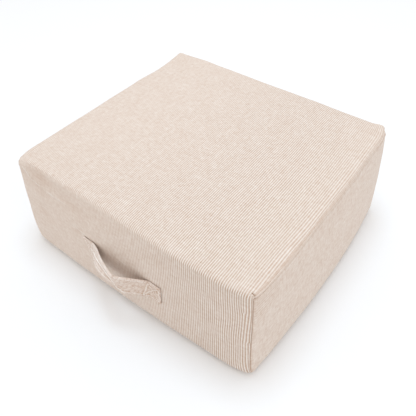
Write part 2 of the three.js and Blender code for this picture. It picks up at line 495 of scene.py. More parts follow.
def smooth_weights(coarse, fine):
    """Matrix that reads values on even coarse borders at the fine ones, by a cubic through four of them."""
    step = coarse[1] - coarse[0]
    place = (fine - coarse[0]) / step
    cell = np.clip(np.floor(place).astype(int), 0, len(coarse) - 2)
    t = place - cell
    shares = [
        -0.5 * t + t**2 - 0.5 * t**3,
        1 - 2.5 * t**2 + 1.5 * t**3,
        0.5 * t + 2 * t**2 - 1.5 * t**3,
        -0.5 * t**2 + 0.5 * t**3,
    ]
    matrix = np.zeros((len(fine), len(coarse)))
    for k, share in enumerate(shares):
        np.add.at(matrix, (np.arange(len(fine)), np.clip(cell + k - 1, 0, len(coarse) - 1)), share)
    return matrix


def new_object(name, points, faces, smooth=True):
    """A mesh object at the origin from points in millimetres and faces as point numbers."""
    mesh = bpy.data.meshes.new(name)
    mesh.from_pydata((points * MM).tolist(), [], faces.tolist())
    mesh.polygons.foreach_set("use_smooth", np.full(len(faces), smooth))
    mesh.update()
    obj = bpy.data.objects.new(name, mesh)
    bpy.context.scene.collection.objects.link(obj)
    return obj


def write_uv(mesh, name, corners):
    """Puts one flat place for each face corner into a new UV map, in metres of cloth."""
    layer = mesh.uv_layers.new(name=name)
    layer.data.foreach_set("uv", (corners * MM).astype(np.float32).reshape(-1))


def write_share(mesh, name, values):
    """Puts one number for each point into a new attribute."""
    layer = mesh.attributes.new(name, "FLOAT", "POINT")
    layer.data.foreach_set("value", values.astype(np.float32))


# ---------------------------------------------------------------- the cover
def swelling(form, sizes):
    """How far the filling pushes the cover out: the block's rounded form without crown or belly is made as
    cloth, its edges and base are held, and pressure swells it over the given frames. Returns the moves of
    the coarse grids, and their borders."""
    xs, ys, zs = (np.linspace(-h, h, int(round(2 * h / SWELLING_CELL)) + 1) for h in form.half)
    block, quads, _, numbers = weld(block_faces(xs, ys, zs))
    round_points, normal = form.rounded(block)
    start = form.bowed(round_points, 0.0, 0.0)
    obj = new_object("swelling", start, quads)
    held = obj.vertex_groups.new(name="held")
    on_edge = np.sum(np.abs(block) > form.half - form.edge, axis=1) > 1
    on_base = block[:, 2] < -form.half[2] + 1
    held.add(np.flatnonzero(on_edge | on_base).tolist(), 1.0, "REPLACE")
    cloth = obj.modifiers.new("cloth", "CLOTH")
    for name, value in SWELLING_CLOTH.items():
        setattr(cloth.settings, name, value)
    for name, value in SWELLING_STIFFNESS.items():
        setattr(cloth.settings, name + "_stiffness", value)
    cloth.settings.vertex_group_mass = held.name
    cloth.settings.uniform_pressure_force = sizes.pressure
    cloth.settings.effector_weights.gravity = 0
    cloth.collision_settings.use_collision = False
    cloth.point_cache.frame_start = 1
    cloth.point_cache.frame_end = sizes.settle_frames
    scene = bpy.context.scene
    for number in range(1, sizes.settle_frames + 1):
        scene.frame_set(number)
    swollen = obj.evaluated_get(bpy.context.evaluated_depsgraph_get()).data
    ends = np.empty(len(start) * 3, np.float32)
    swollen.vertices.foreach_get("co", ends)
    bpy.data.objects.remove(obj)
    scene.frame_set(1)
    push = np.sum((ends.reshape(-1, 3) / MM - start) * normal, axis=1)
    return push, numbers, (xs, ys, zs)


def capped(push, limit, bend=1.3):
    """Brings the pushes of one face to the wanted height: the limit times the hyperbolic tangent of bend
    times each push's share of the highest one, over the hyperbolic tangent of bend."""
    top = max(float(push.max()), 1e-6)
    return limit * np.tanh(bend * push / top) / math.tanh(bend)


def level_seam(form, y):
    """How far below the top edge an end panel's level seam lies: most in the middle, and falling away with
    the 1.15th power of the place towards the corners."""
    middle = 1 - np.abs(y / form.half[1]) ** 1.15
    return SEAM_DROP["top_ends"] + (SEAM_DROP["top_middle"] - SEAM_DROP["top_ends"]) * middle


def follow_seams(form, block, zs):
    """Slides the end panels' points down their faces so that a row lies on the level seam: above it the rows
    spread in proportion, and below it they move by the same amount, less and less down to 120 mm."""
    from_top = form.half[2] - block[:, 2]
    rows = form.half[2] - zs
    seam_row = rows[np.argmin(np.abs(rows - SEAM_DROP["top_ends"]))]
    drop = level_seam(form, block[:, 1])
    above = from_top * drop / seam_row
    below = from_top + (drop - seam_row) * ease(120, seam_row, from_top)
    on_panel = np.abs(block[:, 0]) > form.half[0] - 1e-6
    slid = block.copy()
    slid[on_panel, 2] = form.half[2] - np.where(from_top < seam_row, above, below)[on_panel]
    return slid


def seam_distance(form, block, side):
    """Distance from the end panel's seam on one side, plus on the panel and minus on the wrapping strip, and
    how much the nearest stretch of seam is the level one along the top."""
    y, z = block[:, 1], block[:, 2] + form.half[2]
    base, top = SEAM_DROP["front_base"], SEAM_DROP["front_top"]
    front = y + form.half[1] - base - (top - base) * ease(0.05, 0.4, z / form.height)
    uprights = np.minimum(front, form.half[1] - y - SEAM_DROP["back"])
    above = form.height - z - level_seam(form, y)
    nearest = np.minimum(np.minimum(above, uprights), z - BASE_SEAM_HEIGHT)
    inset = form.half[0] - side * block[:, 0]
    return nearest - inset, ease(-2, 6, np.minimum(uprights, z) - above)


def wandering(places, seed, count, longest, shortest, height):
    """Soft unevenness: a sum of sine waves in seeded directions, with lengths spread between two values."""
    draw = np.random.default_rng(seed)
    total = np.zeros(len(places))
    for _ in range(count):
        way = draw.normal(size=places.shape[1])
        way /= np.linalg.norm(way)
        length = shortest * (longest / shortest) ** draw.random()
        total += np.sin(2 * np.pi * (places @ way) / length + draw.random() * 2 * np.pi)
    return height * total / math.sqrt(count)


def line_distance(places, start, end):
    """Distance from the straight line between two places, and the share of the way along it."""
    run = end - start
    share = np.clip((places - start) @ run / (run @ run), 0, 1)
    return np.linalg.norm(places - start - share[:, None] * run, axis=1), share


def strip_ribs(form, x, y, z):
    """How strong the ribs look, in their bump and in the grooves' browner colour, which is partly painted
    shade:
    on the front they gain from left to right, and on the top they fade towards the left end, most at the
    back, and a little towards the right edge."""
    left, right = RIB_SHOW["front_left"], RIB_SHOW["front_right"]
    on_front = ease(-285, -300, y) * (z < form.height - 1)
    front = left + (right - left) * ease(-170, 290, x)
    top = 1 - (1 - RIB_SHOW["top_left"]) * ease(160, -240, x) * (0.6 + 0.4 * ease(-290, -60, y))
    top *= RIB_SHOW["top"] - ease(220, 305, x) * (0.16 + 0.18 * ease(-100, 280, y))
    return top + (front - top) * on_front


def sewn_seams(form, sizes, block):
    """The end panels' seams draw in as bell curves of the distance from them. The allowance makes two rolls
    beside a level seam with a line between them, and small puckers cross every seam. Returns that relief,
    how strong the ribs look, the painted shade on the seams, their line and second roll with a painted
    highlight just below the seam, how far on to a panel a point lies, and how much of the right panel's
    level ribs shows."""
    x, y, z = block[:, 0], block[:, 1], block[:, 2] + form.half[2]
    run = block[:, 1:]
    depth = sizes.seam_depth / MM
    ribs = strip_ribs(form, x, y, z)
    relief, shade, panels, level_ribs = np.zeros((4, len(block)))
    far_half = ease(-60, 160, y)
    spot = np.hypot(y - LEVEL_RIBS["y"], z - LEVEL_RIBS["z"])
    for k, side in enumerate((1, -1)):
        away, level = seam_distance(form, block, side)
        upright = 1 - level
        first, line, second = (h * hill(away + place, wide) for place, wide, h in ROLLS.values())
        pucker = wandering(run, 11 + k, 12, 24, 7, 0.5)
        tight = np.maximum(level, 0.75 + 0.25 * ease(95, 140, z))
        relief -= depth * hill(away, 1.1) * tight * (1 + 0.15 * pucker)
        relief += level * ((first + second) * (1 + 0.3 * pucker) + line)
        relief += 0.8 * hill(away - 6, 5) + (0.35 - 0.25 * level) * pucker * hill(away, 9)

        # the ribs nearly go on the near half's rolls and on the panel
        shown = 0.15 + 0.45 * far_half
        shown += (RIB_SHOW["panel"] - shown) * ease(0, 1.5, away)
        band_end = -BAND_END * level - 2.0 * upright
        ribs += (shown - ribs) * ease(band_end - 1.0, band_end + 1.0, away)
        panels = np.maximum(panels, ease(0, 3, away))

        # painted shade on the seam, the line and the second roll, and a painted highlight on the panel just
        # below the seam
        on_seam = hill(away, 1.1 + 0.45 * ease(140, 95, z)) * (0.6 + 0.7 * upright)
        if side > 0:
            on_seam *= 1 - 0.35 * level * hill(y + 290, 60)
            level_ribs += hill(spot, LEVEL_RIBS["reach"]) * ease(1, 4, away)
        on_line = (0.65 - 0.25 * far_half) * level * hill(away + ROLLS["line"][0], 1.2)
        on_second = (0.36 - 0.26 * far_half) * level * hill(away + ROLLS["second"][0], 2.5)
        shade = np.maximum.reduce([shade, on_seam, on_line, on_second])
        shade -= 0.25 * level * hill(away - 4.5, 1.6)
    return relief, ribs, shade, panels, level_ribs


def cover_relief(form, sizes, block):
    """What sewing and wear add to the swollen form, along the normal: the seams, the dents as bell curves of
    the distance from a short line, with a soft rim round them, the front's creases as bell curves that lose
    height towards their ends, and an unevenness of 30 to 240 mm. Also returns the shares that the cover's
    cotton reads, with the painted shade of the seams and dents."""
    relief, ribs, shade, panels, level_ribs = sewn_seams(form, sizes, block)
    standing = block + [0, 0, form.half[2]]
    for dent in DENTS:
        radius, depth = dent[6:]
        away = line_distance(standing, dent[:3], dent[3:6])[0]
        relief += depth * (0.3 * hill(away - 2.4 * radius, radius) - hill(away, radius))
        # painted shade in the dent
        shade = np.maximum(shade, hill(away, radius * 0.8))
    front = block[:, 1] < -form.half[1] + 1e-6
    for crease in CREASES:
        width, height = crease[4:]
        away, share = line_distance(standing[:, ::2], crease[:2], crease[2:4])
        relief += height * hill(away, max(width, 2.6)) * (0.35 + 0.65 * bump(2 * share - 1)) * front
    relief += wandering(block, 5, 14, 240, 80, 0.55) + wandering(block, 6, 14, 70, 30, 0.12)
    heather = 1 + 0.5 * panels
    return relief, {"rib_share": ribs, "seam_shade": shade, "heather": heather, "hatch": level_ribs}


def cover_flat(form, block, quads, faces, names):
    """Where each corner of each face lies on the flat cut: across and along the wrapping strip, or up and
    along an end panel, with the cuts laid apart. Across the strip it is the place less the ribs' own shift
    and a slow wandering."""
    half_deep, half_high = form.half[1:]
    corners = block[quads]
    x, y, z = np.moveaxis(corners, -1, 0)
    up = z + half_high
    face = np.array(names)[faces][:, None]
    down_front = z - half_high - half_deep
    along = np.select(
        [face == "top", face == "front", face == "back", face == "base"],
        [y, down_front, half_deep + half_high - z, -y - 2 * half_deep - APART["base"]],
        0,
    )
    astray = wandering(corners.reshape(-1, 3), 21, 12, 260, 70, 0.55).reshape(x.shape)
    across = x - form.rib_shift(x, y, up) - astray
    for side, name in ((1, "right"), (-1, "left")):
        away = seam_distance(form, corners.mean(1), side)[0][:, None]
        here = face == name
        past_top, past_upright = half_high - z, half_deep - np.abs(y)
        by_top = (past_top <= past_upright).mean(1, keepdims=True) > 0.5
        past = np.where(by_top, past_top, past_upright)
        down = np.where(y < 0, down_front, z + APART["back_edge"])
        on_strip, on_panel = here & (away <= 0), here & (away > 0)
        edge_shift = form.rib_shift(side * form.half[0], y, up)
        across = np.where(on_strip, side * (form.half[0] + past) - edge_shift - astray, across)
        along = np.where(on_strip, np.where(by_top, y, down), along)
        across = np.where(on_panel, z + side * APART["panel"], across)
        along = np.where(on_panel, y, along)
    return np.stack([across, along], -1)


def sew_cover(context):
    """The cover: the block's grid is rounded and bowed, swollen by the cloth's pressure, and given its
    seams, band, puckers and creases along the normal, flat where it rests on the floor."""
    sizes = context.scene.cushion_cover
    form = Form(sizes)

    xs, ys, zs = (cell_borders(half, *CELLS[axis]) for half, axis in zip(form.half, "xyz"))
    grids = block_faces(xs, ys, zs)
    block, quads, faces, numbers = weld(grids)
    block = follow_seams(form, block, zs)
    round_points, normal = form.rounded(block)

    push = np.zeros(len(block))
    points = form.bowed(round_points, 0.0, 0.0)
    coarse, coarse_numbers, borders = swelling(form, sizes)
    print("swelling, mm:", {n: round(float(coarse[i].max()), 2) for n, i in coarse_numbers.items()})
    read = [smooth_weights(c, f) for c, f in zip(borders, (xs, ys, zs))]
    axes = {"top": (0, 1), "front": (0, 2), "back": (2, 0), "right": (1, 2), "left": (2, 1)}
    for name, (across, along) in axes.items():
        limit = form.crown if name == "top" else form.belly
        part = capped(coarse[coarse_numbers[name]], limit)
        push[numbers[name]] = read[across] @ part @ read[along].T

    relief, shares = cover_relief(form, sizes, block)
    clear_of_floor = ease(2, 40, points[:, 2])
    points += normal * (push + relief * clear_of_floor)[:, None]
    points[:, 2] = np.maximum(points[:, 2], 0)

    cover = new_object("cushion_cover", points, quads)
    write_uv(cover.data, "cut", cover_flat(form, block, quads, faces, list(grids)))
    for name, values in shares.items():
        write_share(cover.data, name, values)
    cover.data.materials.append(ribbed_cotton(sizes, form))
    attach(cover, BODY)
    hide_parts("cushion")
    print("cover:", len(quads) * 2, "triangles")


# ---------------------------------------------------------------- the strap
def read_table(place, table, column):
    """Smooth curve through a table's rows: a cubic between two rows, with slopes from the rows beside."""
    x, values = table[:, 0], table[:, column]
    slopes = np.gradient(values, x)
    cell = np.clip(np.searchsorted(x, place, side="right") - 1, 0, len(x) - 2)
    span = x[cell + 1] - x[cell]
    t = (place - x[cell]) / span
    start, end = slopes[cell] * span, slopes[cell + 1] * span
    rise = values[cell + 1] - values[cell]
    curve = values[cell] + start * t + (3 * rise - 2 * start - end) * t**2 + (start + end - 2 * rise) * t**3
    return np.maximum(0, curve)


def strap_lie(form, sizes, along, across):
    """The strap's middle layer: two flat bands that meet in a lengthwise fold, each straight across the
    strap from the fold's stand-out to its edge's, at a small gap off the front, with the left end on a
    slant. Returns its points and the way its outer face looks."""
    width = sizes.width / MM
    x = STRAP[0, 0] + STRAP_LENGTH * along
    slant = STRAP_SLANT["far"] * ease(STRAP_SLANT["until"], STRAP[0, 0], x)
    x = x - slant * (across - STRAP_SLANT["pivot"])
    z = STRAP_CENTRE["z"] + STRAP_CENTRE["slope"] * (x - STRAP_CENTRE["x"]) + width * (across - 0.5)

    def out(place, share):
        top, fold, bottom, where = (read_table(place, STRAP, k) for k in (1, 2, 3, FOLD_ACROSS))
        below = bottom + (fold - bottom) * share / where
        above = fold + (top - fold) * (share - where) / (1 - where)
        return below + (above - below) * ease(where - 0.05, where + 0.05, share)

    lean = out(x + 0.5, across) - out(x - 0.5, across)
    tip = (out(x, across + 0.01) - out(x, across - 0.01)) / (0.02 * width)
    way = np.stack([-lean, -np.ones_like(lean), -tip], -1)
    way /= np.linalg.norm(way, axis=-1, keepdims=True)
    stand = STRAP_GAP + out(x, across) + sizes.thickness / MM / 2
    return np.stack([x, form.front_face(x, z) - stand, z], -1), way


def stitch_rows(width):
    """The strap's sewn lines on its flat cut, from one end to the other: a row along each edge, and a box
    with a cross in it at each end."""
    inset, start, end = (STRAP_EDGE_ROWS[k] for k in ("from_edge", "start", "end"))
    rows = [((start, inset), (end, inset)), ((start, width - inset), (end, width - inset))]
    for box in STITCHED_BOXES:
        rows += list(zip(box, box[1:] + box[:1])) + [(box[0], box[2]), (box[1], box[3])]
    return np.array(rows)


def fold_line(x, width):
    """Where the lengthwise fold lies across the strap, and how much of it shows: none over the left end's
    edge and none from a little right of the middle."""
    return width * read_table(x, STRAP, FOLD_ACROSS), ease(-96, -80, x) * ease(42, 28, x)


def strap_relief(flat, x, width):
    """What folding and sewing give the outer face: rolled edges, sewn lines drawn in, a pinched bead along
    the fold, the fold across the strap at its highest place, and crinkles of 5 to 26 mm."""
    across = flat[..., 1]
    places = flat.reshape(-1, 2)
    relief = 0.7 * hill(np.minimum(across, width - across) - 1.4, 1.4)
    relief += 0.9 * ease(-20, 15, x) * hill(width - across - 4.0, 2.6)
    for start, end in stitch_rows(width):
        away = line_distance(places, start, end)[0].reshape(x.shape)
        relief += 0.35 * hill(away - 2.6, 1.2) - 0.35 * hill(away, 0.9)
    fold_at, folded = fold_line(x, width)
    relief += 2.0 * hill(across - fold_at, 1.8) * folded
    share = across / width
    cross_fold = x - CROSS_FOLD["x"] + CROSS_FOLD["left"] * share
    relief += 1.2 * hill(cross_fold, 2.6) * ease(0.25, 0.5, share)
    crinkles = wandering(places, 31, 24, 26, 5, 0.5).reshape(x.shape)
    return relief + crinkles * (0.4 + 0.9 * ease(-30, 10, x))


def paint_strap_light(flat, x, width):
    """Painted light and shade on the strap where its layers are rolled or pinched: painted highlights along
    both edges and the fold, lighter sewn lines, and painted shade in a strip beside the fold and the lines.
    The left half gets painted light. The right half, the left end's edge and the right half's wrinkles,
    which lie where a wandering height is nought, get painted shade."""
    across = flat[:, 1]
    light = 0.55 * hill(np.minimum(across, width - across) - 0.8, 1.3)
    fold_at, folded = fold_line(x, width)
    light = np.maximum(light, (2.2 + ease(20, -30, x)) * hill(across - fold_at, 1.7) * folded)
    light -= 0.9 * folded * hill(np.abs(across - fold_at) - 5.0, 2.0)
    for start, end in stitch_rows(width):
        away = line_distance(flat, start, end)[0]
        light += (0.75 * hill(away, 1.3) - 0.6 * hill(away - 3.2, 1.2)) * (0.5 + 0.5 * ease(-40, 20, x))
    wrinkles = hill(wandering(flat, 33, 12, 22, 8, 1.0), 0.3)
    right_half = ease(-15, 15, x)
    light += 0.2 * (1 - right_half) - (0.35 + 1.2 * wrinkles) * right_half
    return light - 0.6 * ease(-72, -95, x)


def strap_surface(form, sizes, flat, side):
    """A point of the strap's skin from its place on the flat cut: the middle layer moved half the thickness
    towards one side, thinner to the rim so that both sides meet there, plus the outer face's relief."""
    width = sizes.width / MM
    points, way = strap_lie(form, sizes, flat[..., 0] / STRAP_LENGTH, flat[..., 1] / width)
    rim = np.minimum(flat, [STRAP_LENGTH, width] - flat).min(-1)
    full = np.sqrt(np.clip(1 - (1 - np.clip(rim / STRAP_RIM, 0, 1)) ** 2, 0, 1))
    outer = strap_relief(flat, points[..., 0], width) if side > 0 else 0
    push = side * full * (sizes.thickness / MM / 2 + outer)
    return points + way * push[..., None]


def sew_strap(context):
    """The strap: two grids, its back and its outer face, which meet all round the rim."""
    sizes = context.scene.cushion_strap
    form = Form(context.scene.cushion_cover)
    width = sizes.width / MM
    edge = RIM_CELLS * (1 - np.cos(np.linspace(0, np.pi / 2, 5)[:-1]))

    def borders(span, cell):
        inner = np.linspace(RIM_CELLS, span - RIM_CELLS, int(round(span / cell)))
        return np.concatenate([edge, inner, span - edge[::-1]])

    along, across = borders(STRAP_LENGTH, 1.0), borders(width, 0.8)
    flat = np.stack(np.meshgrid(along, across, indexing="ij"), -1)
    skins = [strap_surface(form, sizes, flat, side) for side in (1, -1)]
    points = np.concatenate(skins).reshape(-1, 3)
    n = np.arange(flat[..., 0].size).reshape(flat.shape[:2])
    rim = np.ones(n.shape, bool)
    rim[1:-1, 1:-1] = False
    back = np.where(rim, n, n + n.size)
    quads = np.concatenate([grid_quads(n), grid_quads(back)[:, [0, 3, 2, 1]]])
    used, quads = np.unique(quads, return_inverse=True)
    quads = quads.reshape(-1, 4)
    strap = new_object("carrying_strap", points[used], quads)
    places = np.tile(flat.reshape(-1, 2), (2, 1))[used]
    write_uv(strap.data, "cut", places[quads])
    # painted light and shade of the strap's rolls, fold, sewn lines and wrinkles
    write_share(strap.data, "strap_painted_light", paint_strap_light(places, points[used, 0], width))
    strap.data.materials.append(strap_cotton(sizes, context.scene.cushion_cover))
    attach(strap, BODY)
    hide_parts("handle")
    middle = strap_lie(form, sizes, along / STRAP_LENGTH, np.full_like(along, 0.5))[0]
    real_length = float(np.linalg.norm(np.diff(middle, axis=0), axis=1).sum()) * MM
    print("strap:", len(quads) * 2, "triangles, length", round(real_length, 4), "m")
    return strap, real_length


def sew_stitches(context):
    """The strap's thread: each stitch is a short rounded rod in the strap's outer face along its row."""
    sizes = context.scene.cushion_strap
    form = Form(context.scene.cushion_cover)
    pitch, half = sizes.stitch_pitch / MM, sizes.stitch_length / MM / 2
    middles, ways = [], []
    for start, end in stitch_rows(sizes.width / MM):
        span = np.linalg.norm(end - start)
        count = max(1, int(span / pitch))
        share = (np.arange(count) + 0.5) / count
        middles.append(start + (end - start) * share[:, None])
        ways.append(np.tile((end - start) / span, (count, 1)))
    middles, ways = np.concatenate(middles), np.concatenate(ways)

    def skin(flat):
        return strap_surface(form, sizes, flat, 1)

    centre = skin(middles)
    forward = skin(middles + ways * half) - skin(middles - ways * half)
    forward /= np.linalg.norm(forward, axis=1, keepdims=True)
    sideways = ways[:, ::-1] * [-1, 1]
    up = np.cross(forward, skin(middles + sideways) - skin(middles - sideways))
    up /= np.linalg.norm(up, axis=1, keepdims=True)
    up *= np.where(up[:, 1:2] > 0, -1, 1)
    beside = np.cross(up, forward)

    # a rod of six sides: rings along its length, the end rings drawn in, and a little proud of the cloth
    ring_at = half * np.array([-1.0, -0.72, 0.0, 0.72, 1.0])
    ring_size = sizes.thread_radius / MM * np.array([0.25, 0.9, 1.0, 0.9, 0.25])
    turn = np.arange(6) * np.pi / 3
    moves = (
        (forward, np.tile(ring_at[:, None], len(turn))),
        (beside, ring_size[:, None] * np.cos(turn)),
        (up, ring_size[:, None] * (np.sin(turn) + 0.3)),
    )
    points = centre[:, None, None] + sum(way[:, None, None] * move[..., None] for way, move in moves)
    count, rings, sides = points.shape[:3]
    n = np.arange(rings * sides).reshape(rings, sides)
    around = np.roll(n, -1, axis=1)
    walls = np.stack([n[:-1], around[:-1], around[1:], n[1:]], -1).reshape(-1, 4)
    caps = np.array([[0, 5, 4, 3], [0, 3, 2, 1], [24, 25, 26, 27], [24, 27, 28, 29]])
    one = np.concatenate([walls, caps])
    quads = (one[None] + (np.arange(count) * rings * sides)[:, None, None]).reshape(-1, 4)
    thread = new_object("strap_stitching", points.reshape(-1, 3), quads)
    thread.data.materials.append(sewing_thread(sizes))
    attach(thread, BODY)
    print("stitches:", count, "triangles:", len(quads) * 2)
    return thread


# ---------------------------------------------------------------- materials
def node_maker(tree):
    """Gives the one function that adds a node with its settings and sets or links its inputs."""

    def add(kind, inputs=None, **settings):
        node = tree.nodes.new("ShaderNode" + kind)
        for name, value in settings.items():
            setattr(node, name, value)
        for name, value in (inputs or {}).items():
            source = value
            if isinstance(value, bpy.types.Node):
                source = next(socket for socket in value.outputs if socket.enabled)
            if isinstance(source, bpy.types.NodeSocket):
                tree.links.new(source, node.inputs[name])
            else:
                node.inputs[name].default_value = value
        return node

    return add


def new_material(name):
    """An empty node material, and the function that adds its nodes."""
    material = bpy.data.materials.new(name)
    material.use_nodes = True
    material.node_tree.nodes.clear()
    return material, node_maker(material.node_tree)


# The Mix node's sockets when it mixes colours
MIX_FACTOR, MIX_A, MIX_B = 0, 6, 7


def cotton_grains(add, cut, table):
    """The cotton's grains: noise on the flat cut, with each grain drawn out to its two sizes."""
    grains = {}
    for name, (x_size, y_size, detail, _) in table.items():
        scale = (1 / (x_size * MM), 1 / (y_size * MM), 1.0)
        scaled = add("VectorMath", {0: cut, 1: scale}, operation="MULTIPLY")
        grains[name] = add("TexNoise", {"Vector": scaled, "Scale": 1.0, "Detail": detail})
    return grains


def finish_cotton(add, groove, rib, tone, height, depth, slub):
    """The cotton's finish: the grooves' colour turns to the ribs' with the tone, the height stands out by
    the depth, and the surface has cotton's gloss and pile, a little rougher on the slubs."""
    tones = {MIX_FACTOR: tone, MIX_A: (*groove, 1), MIX_B: (*rib, 1)}
    colour = add("Mix", tones, data_type="RGBA", clamp_factor=False)
    relief = add("Bump", {"Height": height, "Distance": depth, "Strength": 1.0})
    least, slubs = COTTON_ROUGH["least"], COTTON_ROUGH["slubs"]
    rough = add("Math", {0: slub, 1: slubs, 2: least}, operation="MULTIPLY_ADD")
    shader = add("BsdfPrincipled", {"Base Color": colour, "Roughness": rough, "Normal": relief, **COTTON})
    add("OutputMaterial", {"Surface": shader})


def ribbed_cotton(sizes, form):
    """Ribbed cotton, woven, matt: light ribs 4.6 mm apart with browner grooves, whose colour is partly the
    weave's and partly painted shade, heathered by slubs of 2 by 7 mm, weft streaks of 2 by 26 mm, streaks of
    40 mm along the ribs, spots of 9 mm and clouds of 45 mm, and short pile that lightens it where it turns
    away."""
    material, add = new_material("ribbed_cotton_woven")
    cut = add("UVMap", uv_map="cut")
    place = add("SeparateXYZ", {"Vector": cut})
    across, along = place.outputs["X"], place.outputs["Y"]
    grains = cotton_grains(add, cut, RIBBED_GRAINS)

    # ribs: the cosine of the place across the strip, with a turn of the phase round each fork
    phase = add("Math", {0: across, 1: 2 * math.pi / sizes.rib_spacing}, operation="MULTIPLY")
    for x, z, more in RIB_FORKS:
        fork_across = float(x - form.rib_shift(x, -form.half[1], z)) * MM
        fork_along = (z - form.height - form.half[1]) * MM
        beside = add("Math", {0: across, 1: fork_across}, operation="SUBTRACT")
        past = add("Math", {0: along, 1: fork_along}, operation="SUBTRACT")
        turn = add("Math", {0: past, 1: beside}, operation="ARCTAN2")
        phase = add("Math", {0: turn, 1: more, 2: phase}, operation="MULTIPLY_ADD")
    wave = add("Math", {0: phase}, operation="COSINE")
    # the ribs' strength also sets how much painted shade the grooves' colour lays between them
    share = add("Attribute", attribute_name="rib_share").outputs["Fac"]
    ribs = add("Math", {0: wave, 1: share}, operation="MULTIPLY")

    # tone: 0 is the groove's colour and 1 the rib's; each grain moves it about the mean by its weight
    weights = {name: weight for name, (*_, weight) in RIBBED_GRAINS.items() if weight}
    mottle = -0.5 * sum(weights.values())
    for name, weight in weights.items():
        mottle = add("Math", {0: grains[name], 1: weight, 2: mottle}, operation="MULTIPLY_ADD")
    tone = add("Math", {0: ribs, 1: 0.5, 2: MEAN_TONE}, operation="MULTIPLY_ADD")
    heather = add("Attribute", attribute_name="heather").outputs["Fac"]
    tone = add("Math", {0: mottle, 1: heather, 2: tone}, operation="MULTIPLY_ADD")

    # stripes in the tone, where their attribute lets them show: the painted shade along the seams, broken
    # into small bars 3.7 mm apart where the stitches pull, and the right panel's level ribs. Those are drawn
    # 7.6 mm apart to be seen, because 4.6 mm would be too fine to show there
    object_place = add("TexCoord").outputs["Object"]
    spot = add("SeparateXYZ", {"Vector": object_place})
    stitches = add("Math", {0: spot.outputs["Y"], 1: spot.outputs["Z"]}, operation="ADD")
    stitches = add("Math", {0: grains["fibre"], 1: 0.004, 2: stitches}, operation="MULTIPLY_ADD")
    stripes = (
        ("seam_shade", stitches, 3.7, -0.4, -0.65),
        ("hatch", spot.outputs["Z"], 7.6, 0.2, -0.1),
    )
    for name, run, spacing, swing, level in stripes:
        turn = add("Math", {0: run, 1: 2 * math.pi / (spacing * MM)}, operation="MULTIPLY")
        stripe = add("Math", {0: turn}, operation="COSINE")
        stripe = add("Math", {0: stripe, 1: swing, 2: level}, operation="MULTIPLY_ADD")
        share = add("Attribute", attribute_name=name).outputs["Fac"]
        tone = add("Math", {0: share, 1: stripe, 2: tone}, operation="MULTIPLY_ADD")

    # each crease is a long ellipse on the front with a painted highlight along its middle, and each trough
    # one of painted shade
    creases = None
    for x0, z0, x1, z1, width, height in CREASES:
        crease_painted_light = height * CREASE_PAINTED_LIGHT["ridge" if height > 0 else "trough"]
        run_x, run_z = x1 - x0, z1 - z0
        ellipse = add(
            "Mapping",
            {
                "Vector": object_place,
                "Location": ((x0 + x1) / 2 * MM, -form.half[1] * MM, (z0 + z1) / 2 * MM),
                "Rotation": (0, -math.atan2(run_z, run_x), 0),
                "Scale": (math.hypot(run_x, run_z) / 2 * MM, 0.06, width * 1.5 * MM),
            },
            vector_type="TEXTURE",
        )
        line = add("TexGradient", {"Vector": ellipse}, gradient_type="SPHERICAL").outputs["Fac"]
        creases = add("Math", {0: line, 1: crease_painted_light, 2: creases or 0.0}, operation="MULTIPLY_ADD")
    tone = add("Math", {0: creases, 1: tone}, operation="ADD")
    height = add("Math", {0: ribs, 1: 0.5, 2: 0.5}, operation="MULTIPLY_ADD")
    for source, weight in ((creases, 3.0), (grains["slub"], 0.3), (grains["fibre"], 0.15)):
        height = add("Math", {0: source, 1: weight, 2: height}, operation="MULTIPLY_ADD")
    colours = sizes.groove_colour_and_shade, sizes.rib_colour
    finish_cotton(add, *colours, tone, height, sizes.rib_height, grains["slub"])
    return material


def strap_cotton(sizes, cover):
    """The same cotton doubled and pressed for the strap, woven, matt: its ribs are nearly flat and run along
    the strap, under slubs of 9 by 2 mm and spots of 6 mm."""
    material, add = new_material("doubled_cotton_pressed")
    cut = add("UVMap", uv_map="cut")
    across = add("SeparateXYZ", {"Vector": cut}).outputs["Y"]
    phase = add("Math", {0: across, 1: 2 * math.pi / cover.rib_spacing}, operation="MULTIPLY")
    wave = add("Math", {0: phase}, operation="COSINE")
    tone = add("Math", {0: wave, 1: 0.08, 2: -0.07}, operation="MULTIPLY_ADD")
    # the strap's painted light and shade
    strap_painted_light = add("Attribute", attribute_name="strap_painted_light").outputs["Fac"]
    tone = add("Math", {0: strap_painted_light, 1: 0.35, 2: tone}, operation="MULTIPLY_ADD")
    grains = cotton_grains(add, cut, STRAP_GRAINS)
    for name in ("slub", "spots"):
        weight = STRAP_GRAINS[name][-1]
        tone = add("Math", {0: grains[name], 1: weight, 2: tone}, operation="MULTIPLY_ADD")
    height = add("Math", {0: grains["fibre"], 1: 0.4, 2: grains["slub"]}, operation="MULTIPLY_ADD")
    finish_cotton(add, cover.groove_colour_and_shade, sizes.cloth_colour, tone, height, 0.0006, grains["slub"])
    return material


def sewing_thread(sizes):
    """Polyester thread, spun and twisted: a slight shine, with the twist as fine slanting bands."""
    material, add = new_material("polyester_thread_twisted")
    place = add("TexCoord").outputs["Object"]
    twist = add(
        "TexWave",
        {"Vector": place, "Scale": 900.0, "Distortion": 0.5},
        wave_type="BANDS",
        bands_direction="DIAGONAL",
    )
    twist = twist.outputs["Fac"]
    dark, light = (*[c * 0.86 for c in sizes.thread_colour], 1), (*sizes.thread_colour, 1)
    colour = add("Mix", {MIX_FACTOR: twist, MIX_A: dark, MIX_B: light}, data_type="RGBA")
    rough = add("Math", {0: twist, 1: -0.1, 2: 0.65}, operation="MULTIPLY_ADD")
    gloss = {"IOR": 1.5, "Specular IOR Level": 0.3}
    shader = add("BsdfPrincipled", {"Base Color": colour, "Roughness": rough, **gloss})
    add("OutputMaterial", {"Surface": shader})
    return material


